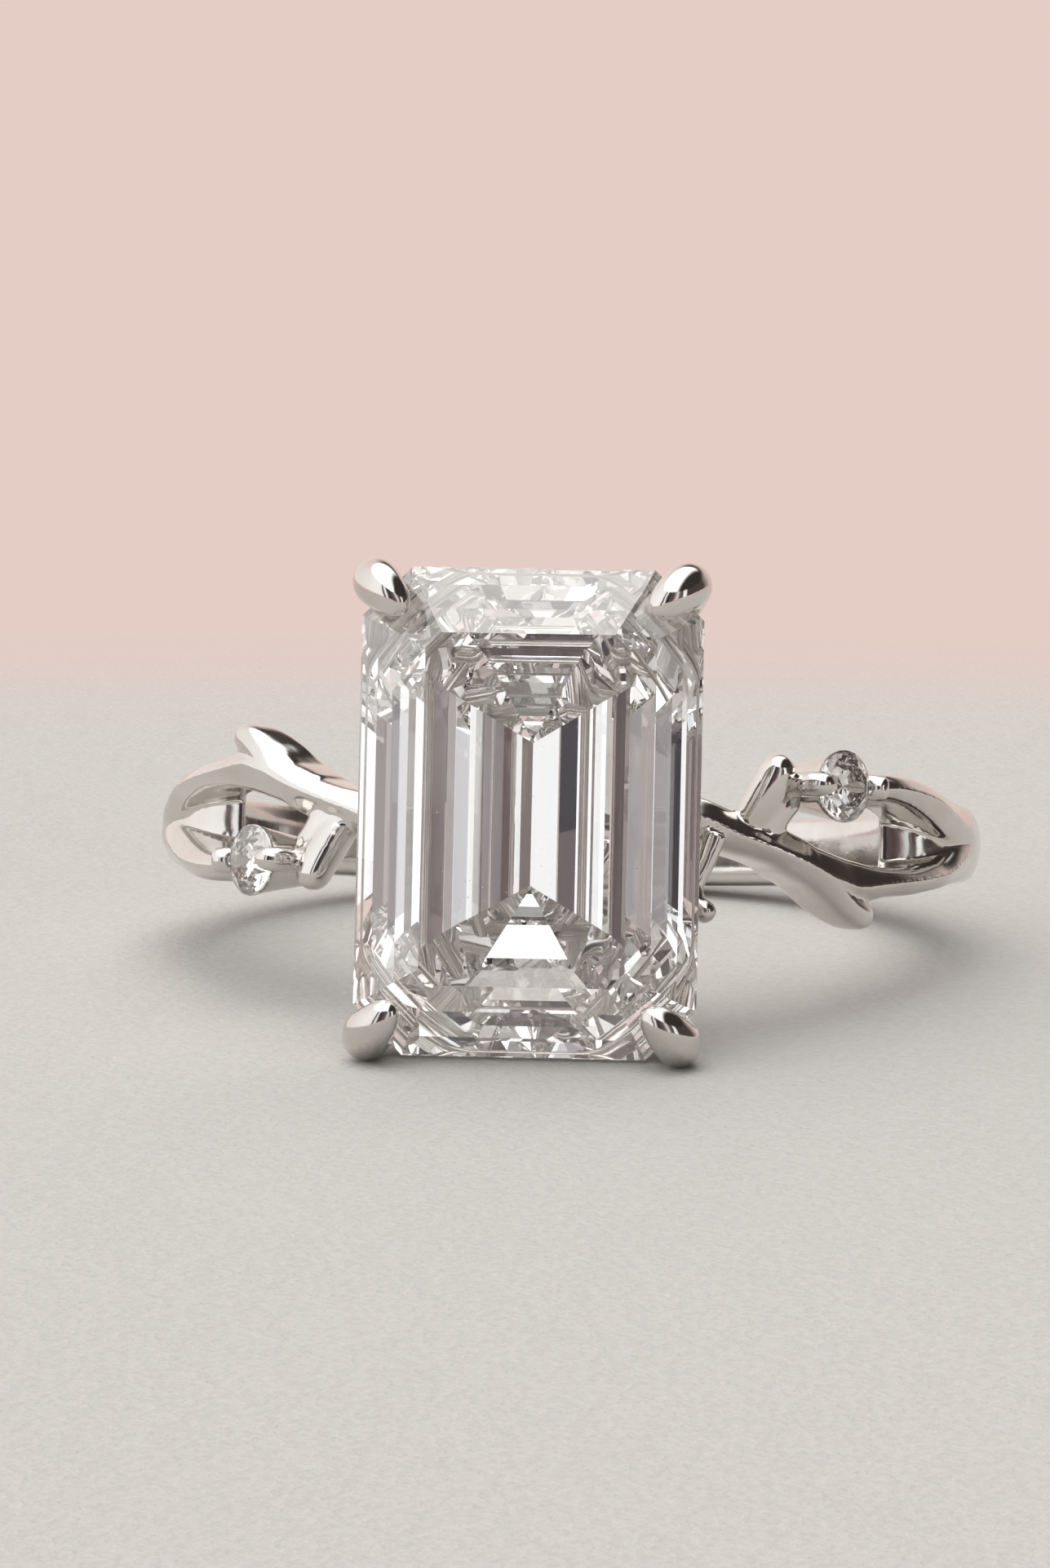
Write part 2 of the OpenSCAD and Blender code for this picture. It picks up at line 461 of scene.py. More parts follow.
@dataclass(frozen=True)
class SuedeCloth:
    """The pale napped cloth, which turns rosy away from the ring.

    Attributes:
        far: the colour further off.
        name: the finish's name.
        near: the colour round the ring.
        centre: the middle of the pale part along Y, in millimetres.
        turn_from: where the colour starts to turn, in millimetres from that middle.
        turn_to: where it has turned.
        darkest: the colour's factor between the tufts.
        lightest: the colour's factor on the tufts.
        nap_scale: tufts of the short nap, to a millimetre.
        nap: their depth, in millimetres.
        drift_scale: slow waves under the nap, to a millimetre.
        drift: their depth, in millimetres.
        rough: the nap's roughness.
        sheen: how much light it catches edge-on.
        shine: how much it mirrors.
    """

    far: tuple
    name: str = "pale_suede"
    near: tuple = (0.555, 0.541, 0.515)
    centre: float = -35.0
    turn_from: float = 68.0
    turn_to: float = 104.0
    darkest: float = 0.93
    lightest: float = 1.03
    nap_scale: float = 5.0
    nap: float = 0.07
    drift_scale: float = 0.25
    drift: float = 0.25
    rough: float = 0.95
    sheen: float = 0.25
    shine: float = 0.1

    def material(self) -> bpy.types.Material:
        """Writes the cloth's material.

        Returns:
            The material.
        """
        made, nodes = bare_material(self.name)
        where = nodes.millimetres()
        offset = nodes.add("VectorMath", operation="SUBTRACT")
        nodes.link(where, offset.inputs[0])
        offset.inputs[1].default_value = (0.0, self.centre, 0.0)
        reach = nodes.add("VectorMath", operation="LENGTH")
        nodes.link(offset.outputs[0], reach.inputs[0])
        turned = nodes.past(reach.outputs["Value"], (self.turn_from, self.turn_to))
        nap = nodes.noise(where, self.nap_scale, detail=6.0)
        drift = nodes.noise(where, self.drift_scale, detail=2.0)
        shade = nodes.add("Mix", data_type="RGBA", blend_type="MULTIPLY")
        shade.inputs[MIX_SHARE].default_value = 1.0
        shade.inputs[MIX_FIRST].default_value = (*self.near, 1.0)
        tufts = nodes.remap(nap, 0.3, 0.7, to_low=self.darkest, to_high=self.lightest)
        nodes.link(tufts, shade.inputs[MIX_SECOND])
        waved = nodes.bump(drift, self.drift, strength=0.5)
        pile = nodes.bump(nap, self.nap, strength=0.8, under=waved)
        shader = nodes.add("BsdfPrincipled")
        nodes.feed(shader, Base_Color=shade.outputs[MIX_RESULT], Roughness=self.rough, Normal=pile)
        nodes.feed(shader, Sheen_Weight=self.sheen, Specular_IOR_Level=self.shine)
        rosy = nodes.feed(nodes.add("Emission"), Color=(*self.far, 1.0))
        nodes.finish("OutputMaterial", nodes.either(turned, shader.outputs[0], rosy.outputs[0]))
        return made


# ---------------------------------------------------------------- mesh helpers


def curve_through(rows: Sequence[Sequence[float]], place: float) -> list[float]:
    """Runs a smooth curve through rows of numbers.

    Args:
        rows: the rows that it passes through.
        place: where along the rows, from 0 to their count less one.

    Returns:
        The numbers at that place.
    """
    last = len(rows) - 1
    start = min(int(place), last - 1)
    part = place - start
    a, b, c, d = (rows[max(0, min(last, start + k))] for k in (-1, 0, 1, 2))
    return [
        0.5
        * (
            2 * q
            + (r - p) * part
            + (2 * p - 5 * q + 4 * r - s) * part**2
            + (3 * q - p - 3 * r + s) * part**3
        )
        for p, q, r, s in zip(a, b, c, d)
    ]


def on_band(angle_deg: float, radius: float, height: float) -> Vector:
    """Finds a point of the band.

    Args:
        angle_deg: its angle from the centre stone.
        radius: its distance from the bore's axis, in millimetres.
        height: its height along that axis, in millimetres.

    Returns:
        The point in ring millimetres.
    """
    angle = math.radians(angle_deg)
    return Vector((radius * math.sin(angle), -radius * math.cos(angle), height))


def draw_skin(bm: bmesh.types.BMesh, rings: Sequence[Sequence[Vector]]) -> None:
    """Draws a closed skin by extruding a capped circle from ring to ring.

    Args:
        bm: the mesh to draw in.
        rings: the corners of each ring, the same number in each.
    """
    made = bmesh.ops.create_circle(bm, cap_ends=False, segments=len(rings[0]), radius=1.0)
    verts = made["verts"]
    for vert, corner in zip(verts, rings[0]):
        vert.co = corner
    edges = list({edge for vert in verts for edge in vert.link_edges})
    ends = [edges]
    for ring in rings[1:]:
        grown = bmesh.ops.extrude_edge_only(bm, edges=edges)["geom"]
        fresh = {g for g in grown if isinstance(g, bmesh.types.BMVert)}
        edges = [g for g in grown if isinstance(g, bmesh.types.BMEdge) and fresh.issuperset(g.verts)]
        heirs = []
        for vert in verts:
            others = (edge.other_vert(vert) for edge in vert.link_edges)
            heirs.append(next(other for other in others if other in fresh))
        for vert, corner in zip(heirs, ring):
            vert.co = corner
        verts = heirs
    ends.append(edges)
    for end in ends:
        bmesh.ops.contextual_create(bm, geom=end)


def finish_piece(
    bm: bmesh.types.BMesh,
    name: str,
    matrix: Matrix,
    material: bpy.types.Material,
    smooth: bool = True,
) -> bpy.types.Object:
    """Turns a mesh in ring millimetres into a finished piece.

    Args:
        bm: the mesh, which is freed.
        name: the piece's name.
        matrix: ring millimetres to frame metres.
        material: its finish.
        smooth: whether its faces are shaded as one surface.

    Returns:
        The piece.
    """
    bmesh.ops.recalc_face_normals(bm, faces=bm.faces[:])
    bmesh.ops.transform(bm, matrix=matrix, verts=bm.verts[:])
    mesh = bpy.data.meshes.new(name)
    for face in bm.faces:
        face.smooth = smooth
    bm.to_mesh(mesh)
    bm.free()
    piece = bpy.data.objects.new(name, mesh)
    bpy.context.scene.collection.objects.link(piece)
    mesh.materials.append(material)
    return piece


def ease_edges(piece: bpy.types.Object, angle_deg: float) -> None:
    """Shades a piece as one surface, but for its sharp edges.

    Args:
        piece: the piece.
        angle_deg: edges that turn more than this stay sharp.
    """
    piece.data.set_sharp_from_angle(angle=math.radians(angle_deg))


def settle(piece: bpy.types.Object, nodes: Iterable[str]) -> None:
    """Declares a piece to the frame.

    Args:
        piece: the piece.
        nodes: the CAD nodes that it stands for.
    """
    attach(piece, BODY)
    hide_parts(*nodes)
    LOG.info("%s: %d faces", piece.name, len(piece.data.polygons))


def shaped_by(piece: bpy.types.Object) -> bpy.types.Mesh:
    """Makes the mesh that a piece's modifiers give.

    Args:
        piece: the piece.

    Returns:
        A new mesh.
    """
    graph = bpy.context.evaluated_depsgraph_get()
    return bpy.data.meshes.new_from_object(piece.evaluated_get(graph))


# ---------------------------------------------------------------- the twig band


# One side of a twig's section, from its ridge to its base: how far out to the side, as a share
# of the half width, and how high, as a share of the thickness.
RIDGED = (
    (0.0, 1.0), (0.3, 0.94), (0.6, 0.88), (0.85, 0.81), (0.97, 0.72),
    (1.0, 0.6), (1.0, 0.35), (0.97, 0.12), (0.85, 0.02), (0.5, 0.0),
)
ROUND = (
    (0.0, 1.0), (0.3, 0.985), (0.6, 0.94), (0.82, 0.87), (0.95, 0.76),
    (1.0, 0.6), (1.0, 0.35), (0.97, 0.12), (0.85, 0.02), (0.5, 0.0),
)


@dataclass(frozen=True)
class Twig:
    """A twig that runs round the band.

    Attributes:
        rows: angle, lower edge, ridge, upper edge, outer radius, how round the section is from
            0 to 1 and, where it isn't the usual one, the inner radius.
        inner: the usual inner radius.
        each: rings to a row.
        base: the share of the thickness below which the ridge's lean stops.
    """

    rows: tuple
    inner: float = 8.25
    each: int = 8
    base: float = 0.3

    def rings(self, side: Side) -> list[list[Vector]]:
        """Works out the twig's rings.

        Args:
            side: the half of the ring that it is on.

        Returns:
            Rings of corners in ring millimetres.
        """
        # A row of seven numbers keeps its own inner radius.
        rows = [(*row, self.inner)[:7] for row in self.rows]
        last = len(rows) - 1
        made = []
        for step in range(last * self.each + 1):
            angle, low, ridge, high, outer, soft, inner = curve_through(rows, step / self.each)
            middle, half = (low + high) / 2, (high - low) / 2
            lean = ridge - middle
            corners = []
            for way in (1, -1):
                half_ring = []
                for (u, h), (_, r) in zip(RIDGED, ROUND):
                    level = h + (r - h) * soft
                    across = middle + way * half * u
                    if level > self.base:
                        across += lean * (1 - u)
                    half_ring.append(on_band(angle, inner + (outer - inner) * level, across))
                corners.append(half_ring)
            ring = corners[0] + [on_band(angle, inner, middle)] + corners[1][:0:-1]
            made.append([side.turn @ corner for corner in ring])
        return made


@dataclass(frozen=True)
class Wire:
    """A free twig, or a claw.

    Attributes:
        rows: place and radius along it.
        outward: which way its section faces; None for straight out of the finger bore.
        square: how square the section is, from 2 for a round one.
        each: rings to a row.
        sides: corners to a ring.
        look: how far along the rows the way is taken from, to either side.
        nib: the share of the radius that is left at the tip.
    """

    rows: tuple
    outward: tuple | None = None
    square: float = 2.0
    each: int = 8
    sides: int = 20
    look: float = 0.05
    nib: float = 0.2

    def rings(self, side: Side) -> list[list[Vector]]:
        """Works out the wire's rings, closed over a round tip.

        Args:
            side: the half of the ring that it is on.

        Returns:
            Rings of corners in ring millimetres.
        """
        last = len(self.rows) - 1
        tip = Vector(self.rows[-1][:3])
        made = []
        for step in range(last * self.each + 1):
            place = step / self.each
            x, y, z, radius = curve_through(self.rows, place)
            before = Vector(curve_through(self.rows, max(place - self.look, 0))[:3])
            after = Vector(curve_through(self.rows, min(place + self.look, last))[:3])
            centre, way = Vector((x, y, z)), (after - before).normalized()
            across = way.cross(Vector(self.outward or (x, y, 0))).normalized()
            out = across.cross(way)
            left = (tip - centre).length
            if left < radius:
                radius *= max(self.nib, math.sqrt(1 - (1 - left / radius) ** 2))
            ring = []
            for i in range(self.sides):
                turn = 2 * math.pi * i / self.sides
                reach = abs(math.cos(turn)) ** self.square + abs(math.sin(turn)) ** self.square
                reach = radius * reach ** (-1 / self.square)
                ring.append(centre + reach * (across * math.cos(turn) + out * math.sin(turn)))
            made.append([side.turn @ corner for corner in ring])
        return made


@dataclass(frozen=True)
class Parting:
    """A seam where one piece of the band meets the next.

    Attributes:
        at: a point inside the seam, as angle, radius and height.
        normal: the way across the seam; None for along the band.
    """

    at: tuple
    normal: tuple | None = None


@dataclass
class TwigBand:
    """The band of twigs, cast as one and parted where its pieces meet.

    Attributes:
        ring: the ring's own frame.
        metal: its finish.
        grain: how fine the casting is, in millimetres.
        easing: how far a pass of smoothing goes.
        passes: how many passes there are.
        stem: the twig that crosses the front under the stone.
        lower: the branch that leaves it and joins the shank.
        upper: the branch that starts under the side stone and joins the shank.
        web: the skin that fills the fork of the two branches.
        shank: the plain half of the band behind.
        bud: the bud over the stem's end.
        neck: what joins the bud to the upper branch.
        root: the short twig that leaves the stem near the side stone.
        partings: where the casting is parted, on the right-hand side.
        reach: how far round a parting's point it is cut.
        rear: a point on the shank behind.
        front: a point on the stem's middle.
        below: angle, radius and height of a point on the right-hand side's lower branch.
        above: the same on its upper branch.
        beside: a point on its bud.
        beneath: a point on its root twig.
    """

    ring: RingFrame
    metal: bpy.types.Material
    grain: float = 0.056
    easing: float = 0.5
    passes: int = 10
    stem: Twig = Twig(
        (
            (0.0, -0.5, 0.0, 0.5, 9.35, 0.0),
            (12.0, -0.42, 0.1, 0.6, 9.5, 0.0),
            (18.0, -0.42, 0.18, 0.68, 9.6, 0.0),
            (22.5, -0.48, 0.14, 0.64, 9.7, 0.0),
            (27.0, -0.65, -0.19, 0.38, 9.78, 0.0),
            (31.0, -0.8, -0.42, 0.2, 9.85, 0.0),
            (35.5, -1.05, -0.68, -0.03, 9.9, 0.0),
            (40.0, -1.45, -0.97, -0.36, 9.93, 0.05, 8.25),
            (43.2, -1.82, -1.35, -0.85, 9.9, 0.3, 8.4),
            (46.4, -2.13, -1.7, -1.25, 9.84, 0.6, 8.65),
            (48.9, -2.25, -1.87, -1.5, 9.76, 0.9, 8.85),
            (50.8, -2.17, -1.92, -1.67, 9.64, 1.0, 9.0),
            (51.7, -2.02, -1.9, -1.8, 9.45, 1.0, 9.15),
        )
    )
    lower: Twig = Twig(
        (
            (34.0, -1.0, -0.6, 0.02, 9.85, 0.0),
            (38.5, -1.3, -0.87, -0.28, 9.92, 0.0),
            (44.9, -1.6, -1.25, -0.58, 9.95, 0.0),
            (47.5, -1.62, -1.3, -0.66, 9.95, 0.0),
            (51.3, -1.58, -1.21, -0.75, 9.93, 0.0),
            (54.5, -1.48, -1.15, -0.77, 9.92, 0.0),
            (60.5, -1.4, -1.04, -0.74, 9.9, 0.0),
            (66.0, -1.28, -0.92, -0.6, 9.89, 0.0),
            (70.0, -1.2, -0.8, -0.45, 9.89, 0.1),
            (75.0, -1.08, -0.5, -0.1, 9.89, 0.3),
            (80.0, -1.0, -0.24, 0.3, 9.9, 0.6),
            (87.0, -0.93, -0.02, 0.7, 9.9, 1.0),
        )
    )
    upper: Twig = Twig(
        (
            (43.0, 0.72, 0.97, 1.22, 9.55, 0.2),
            (47.0, 0.7, 1.0, 1.3, 9.72, 0.1),
            (50.5, 0.7, 1.0, 1.37, 9.84, 0.0),
            (55.0, 0.7, 1.04, 1.39, 9.9, 0.0),
            (60.0, 0.6, 0.98, 1.37, 9.9, 0.0),
            (65.5, 0.36, 0.84, 1.25, 9.9, 0.0),
            (71.0, 0.05, 0.58, 1.06, 9.89, 0.1),
            (76.0, -0.25, 0.38, 0.96, 9.89, 0.3),
            (81.0, -0.5, 0.18, 0.92, 9.9, 0.6),
            (87.0, -0.7, 0.0, 0.92, 9.9, 1.0),
        )
    )
    web: Twig = Twig(
        (
            (65.0, -0.85, -0.15, 0.5, 8.32, 1.0),
            (66.2, -0.85, -0.15, 0.5, 8.65, 1.0),
            (67.6, -0.85, -0.15, 0.5, 8.95, 1.0),
            (69.6, -0.85, -0.15, 0.5, 9.22, 1.0),
            (72.5, -0.85, -0.12, 0.55, 9.47, 1.0),
            (77.5, -0.85, -0.08, 0.65, 9.7, 1.0),
            (84.0, -0.85, 0.0, 0.85, 9.86, 1.0),
        )
    )
    shank: Twig = Twig(
        (
            (78.0, -0.86, 0.0, 0.8, 9.6, 1.0),
            (84.0, -0.92, 0.0, 0.9, 9.88, 1.0),
            (92.0, -0.92, 0.0, 0.92, 9.92, 1.0),
            (104.0, -0.9, 0.0, 0.9, 9.9, 1.0),
            (125.0, -0.87, 0.0, 0.87, 9.85, 1.0),
            (150.0, -0.85, 0.0, 0.85, 9.83, 1.0),
            (180.5, -0.85, 0.0, 0.85, 9.82, 1.0),
        ),
        each=12,
    )
    bud: Wire = Wire(
        (
            (4.42, -7.98, -0.2, 0.38),
            (4.72, -8.1, 0.25, 0.41),
            (4.98, -8.2, 0.7, 0.42),
            (5.22, -8.25, 1.15, 0.41),
            (5.44, -8.22, 1.62, 0.39),
        ),
        square=2.4,
    )
    neck: Wire = Wire(
        (
            (4.85, -7.9, -0.3, 0.42),
            (5.05, -7.88, 0.1, 0.43),
            (5.28, -7.8, 0.5, 0.43),
            (5.65, -7.5, 0.85, 0.4),
        )
    )
    root: Wire = Wire(
        (
            (3.95, -8.95, -0.2, 0.26),
            (3.7, -9.05, -0.9, 0.22),
            (3.45, -9.1, -1.45, 0.23),
            (3.55, -9.15, -1.85, 0.26),
            (3.95, -9.2, -2.1, 0.3),
        )
    )
    partings: tuple = (
        Parting((64.0, 9.0, -0.95)),
        Parting((64.0, 9.0, 0.7)),
        Parting((54.0, 9.0, -1.15)),
        Parting((30.0, 9.2, 0.55), (0, 0, 1)),
        Parting((22.3, 9.05, -0.8), (0, 0, 1)),
    )
    reach: float = 1.4
    rear: tuple = (0.0, 9.85, 0.0)
    front: tuple = (0.0, -9.35, 0.0)
    below: tuple = (59.0, 9.8, -1.05)
    above: tuple = (56.0, 9.8, 1.04)
    beside: tuple = (5.3, -8.9, 1.2)
    beneath: tuple = (3.45, -9.3, -1.45)

    def build(self) -> None:
        """Casts the band and parts it into its pieces."""
        cast = self._cast()
        bm = bmesh.new()
        bm.from_mesh(cast)
        bpy.data.meshes.remove(cast)
        for side in Side:
            for parting in self.partings:
                self._part(bm, side, parting)
        self._name_pieces(bm)

    def _cast(self) -> bpy.types.Mesh:
        """Draws all the twigs and melts them together.

        Returns:
            The whole band's mesh, in ring millimetres.
        """
        bm = bmesh.new()
        twigs = (self.stem, self.lower, self.upper, self.web, self.shank)
        for side in Side:
            for part in (*twigs, self.bud, self.neck, self.root):
                draw_skin(bm, part.rings(side))
        bmesh.ops.recalc_face_normals(bm, faces=bm.faces[:])
        mesh = bpy.data.meshes.new("band_cast")
        bm.to_mesh(mesh)
        bm.free()
        cast = bpy.data.objects.new("band_cast", mesh)
        bpy.context.scene.collection.objects.link(cast)
        grains = cast.modifiers.new("grains", "REMESH")
        grains.mode = "VOXEL"
        grains.voxel_size = self.grain
        ease = cast.modifiers.new("ease", "SMOOTH")
        ease.factor, ease.iterations = self.easing, self.passes
        shaped = shaped_by(cast)
        bpy.data.objects.remove(cast)
        bpy.data.meshes.remove(mesh)
        return shaped

    def _part(self, bm: bmesh.types.BMesh, side: Side, parting: Parting) -> None:
        """Parts the casting along one seam, and closes both ends.

        Args:
            bm: the casting.
            side: the half of the ring that the seam is on.
            parting: the seam.
        """
        middle = side.turn @ on_band(*parting.at)
        angle = math.radians(parting.at[0])
        way = parting.normal or (math.cos(angle), math.sin(angle), 0.0)
        normal = (side.turn @ Vector(way)).normalized()
        near = [f for f in bm.faces if (f.calc_center_median() - middle).length < self.reach]
        geom = near + list({e for f in near for e in f.edges}) + list({v for f in near for v in f.verts})
        done = bmesh.ops.bisect_plane(bm, geom=geom, dist=1e-5, plane_co=middle, plane_no=normal)
        seam = [g for g in done["geom_cut"] if isinstance(g, bmesh.types.BMEdge)]
        split = bmesh.ops.split_edges(bm, edges=self._nearest_loop(seam, middle))["edges"]
        for edges in self._loops(split):
            for cap in bmesh.ops.contextual_create(bm, geom=edges)["faces"]:
                for edge in cap.edges:
                    edge.smooth = False

    def _loops(self, edges: Iterable[bmesh.types.BMEdge]) -> list[list[bmesh.types.BMEdge]]:
        """Sorts edges into loops that touch.

        Args:
            edges: the edges.

        Returns:
            Each loop's edges.
        """
        left, found = set(edges), []
        while left:
            loop, front = [], [left.pop()]
            while front:
                edge = front.pop()
                loop.append(edge)
                touching = {e for v in edge.verts for e in v.link_edges if e in left}
                left -= touching
                front += touching
            found.append(loop)
        return found

    def _nearest_loop(
        self,
        edges: Iterable[bmesh.types.BMEdge],
        middle: Vector,
    ) -> list[bmesh.types.BMEdge]:
        """Finds the loop round a point.

        Args:
            edges: the edges of all the loops.
            middle: the point.

        Returns:
            The loop whose own middle is the nearest.
        """

        def gap(loop: list[bmesh.types.BMEdge]) -> float:
            """How far a loop's middle is from the point."""
            points = [v.co for e in loop for v in e.verts]
            return (sum(points, Vector()) / len(points) - middle).length

        return min(self._loops(edges), key=gap)

    def _spots(self) -> dict[str, Vector]:
        """Picks a point on each piece.

        Returns:
            The points, by the CAD nodes that the pieces stand for.
        """
        spots = {"rear_shank": Vector(self.rear), "cross_stem": Vector(self.front)}
        for side in Side:
            # Half a turn about the stone's axis puts the lower branch above the upper one.
            below, above = ("lower", "upper") if side is Side.RIGHT else ("upper", "lower")
            for node, place in (
                (f"{below}_branch", on_band(*self.below)),
                (f"{above}_branch", on_band(*self.above)),
                ("bud", Vector(self.beside)),
                ("root_twig", Vector(self.beneath)),
            ):
                spots[f"{side.word}_{node}"] = side.turn @ place
        return spots

    def _name_pieces(self, bm: bmesh.types.BMesh) -> None:
        """Makes a piece of each part of the casting.

        Args:
            bm: the parted casting, which is freed.
        """
        islands = self._islands(bm)
        for node, place in self._spots().items():
            island = min(islands, key=lambda verts: min((v.co - place).length_squared for v in verts))
            own = bm.copy()
            keep = {v.index for v in island}
            bmesh.ops.delete(own, geom=[v for v in own.verts if v.index not in keep], context="VERTS")
            piece = finish_piece(own, f"{node}_cast", self.ring.matrix, self.metal)
            settle(piece, [node])
        bm.free()

    def _islands(self, bm: bmesh.types.BMesh) -> list[list[bmesh.types.BMVert]]:
        """Finds the separate parts of a mesh.

        Args:
            bm: the mesh.

        Returns:
            Each part's vertices.
        """
        bm.verts.index_update()
        seen, found = set(), []
        for start in bm.verts:
            if start.index in seen:
                continue
            seen.add(start.index)
            island, front = [], [start]
            while front:
                vert = front.pop()
                island.append(vert)
                for edge in vert.link_edges:
                    other = edge.other_vert(vert)
                    if other.index not in seen:
                        seen.add(other.index)
                        front.append(other)
            found.append(island)
        return found


# ---------------------------------------------------------------- the stones


@dataclass(frozen=True)
class Facets:
    """A ring of like facets.

    Attributes:
        tilt_deg: their slope from the girdle's plane.
        reach: the distance of the point that they pass through from the stone's axis.
        level: its height over the girdle.
        count: how many there are, evenly round the stone.
        start_deg: where the first one faces.
    """

    tilt_deg: float
    reach: float
    level: float
    count: int
    start_deg: float = 0.0

    def planes(self) -> list[tuple[Vector, Vector]]:
        """Works out the facets' planes.

        Returns:
            Each facet's point and outward normal.
        """
        tilt = math.radians(self.tilt_deg)
        made = []
        for i in range(self.count):
            turn = math.radians(self.start_deg + 360.0 * i / self.count)
            across = Vector((math.cos(turn), math.sin(turn), 0.0))
            lift = Vector((0.0, 0.0, math.copysign(math.cos(tilt), self.level)))
            point = across * self.reach + Vector((0, 0, self.level))
            made.append((point, across * math.sin(tilt) + lift))
        return made


def cut_stone(bm: bmesh.types.BMesh, planes: Iterable[tuple]) -> None:
    """Cuts flat facets on a rough stone.

    Args:
        bm: the rough.
        planes: each facet's point and outward normal.
    """
    for point, normal in planes:
        done = bmesh.ops.bisect_plane(
            bm,
            geom=bm.verts[:] + bm.edges[:] + bm.faces[:],
            dist=1e-6,
            plane_co=point,
            plane_no=normal,
            clear_outer=True,
        )
        edges = [g for g in done["geom_cut"] if isinstance(g, bmesh.types.BMEdge) and g.is_boundary]
        if edges:
            bmesh.ops.contextual_create(bm, geom=edges)


@dataclass
class CentreStone:
    """The step-cut centre stone.

    Attributes:
        ring: the ring's own frame.
        gem: its finish.
        half_wide: half of its width.
        half_long: half of its length.
        corner: how far its corners are cut back.
        girdle: the girdle's place on Y.
        girdle_thick: the girdle's thickness.
        rough: half the thickness of the rough that it is cut from.
        crown: how far in, how far up and how much of the corner is left, step by step.
        pavilion: the same, downwards.
    """

    ring: RingFrame
    gem: bpy.types.Material
    half_wide: float = 3.76
    half_long: float = 5.36
    corner: float = 1.1
    girdle: float = -13.0
    girdle_thick: float = 0.2
    rough: float = 6.0
    crown: tuple = ((0.0, 0.0, 1.1), (0.42, 0.45, 0.85), (0.97, 0.85, 0.6), (1.52, 1.1, 0.35))
    pavilion: tuple = ((0.0, 0.0, 1.1), (0.7, 1.0, 1.0), (1.9, 2.16, 0.8), (3.78, 3.46, 0.02))

    def build(self) -> None:
        """Cuts the stone and sets it."""
        bm = bmesh.new()
        bmesh.ops.create_cube(bm, size=2.0)
        bmesh.ops.scale(bm, vec=(self.half_wide, self.rough, self.half_long), verts=bm.verts[:])
        bmesh.ops.translate(bm, vec=(0, self.girdle, 0), verts=bm.verts[:])
        cut_stone(bm, self._girdle_planes())
        cut_stone(bm, self._step_planes(self.crown, -1))
        cut_stone(bm, self._step_planes(self.pavilion, 1))
        table = self.girdle - self.girdle_thick / 2 - self.crown[-1][1]
        cut_stone(bm, [(Vector((0, table, 0)), Vector((0, -1, 0)))])
        stone = finish_piece(bm, "centre_stone_cut", self.ring.matrix, self.gem, smooth=False)
        settle(stone, ["centre_stone"])

    def _sides(self, inset: float, corner: float) -> list[tuple[Vector, float]]:
        """Works out the outline's eight sides.

        Args:
            inset: how far in from the girdle they are.
            corner: how far the corners are cut back.

        Returns:
            The way that each side faces, and its distance from the stone's axis.
        """
        wide, long = self.half_wide - inset, self.half_long - inset
        diagonal = (wide + long - corner) / math.sqrt(2)
        sides = []
        for across, along in ((1, 0), (1, 1), (0, 1), (-1, 1), (-1, 0), (-1, -1), (0, -1), (1, -1)):
            reach = diagonal if across and along else (wide if across else long)
            sides.append((Vector((across, 0, along)).normalized(), reach))
        return sides

    def _girdle_planes(self) -> list[tuple[Vector, Vector]]:
        """Works out the girdle's sides.

        Returns:
            Each side's point and outward normal.
        """
        middle = Vector((0, self.girdle, 0))
        return [(way * reach + middle, way) for way, reach in self._sides(0, self.corner)]

    def _step_planes(self, steps: tuple, up: int) -> list[tuple[Vector, Vector]]:
        """Works out the facets from step to step.

        Args:
            steps: the crown's or the pavilion's steps.
            up: which way along Y they rise.

        Returns:
            Each facet's point and outward normal.
        """
        base = self.girdle + up * self.girdle_thick / 2
        planes = []
        for (inset, rise, corner), (next_inset, next_rise, next_corner) in zip(steps, steps[1:]):
            sides = zip(self._sides(inset, corner), self._sides(next_inset, next_corner))
            for (way, reach), (_, next_reach) in sides:
                point = way * reach + Vector((0, base + up * rise, 0))
                normal = way * (next_rise - rise) + Vector((0, up * (reach - next_reach), 0))
                planes.append((point, normal.normalized()))
        return planes


# ---------------------------------------------------------------- the settings


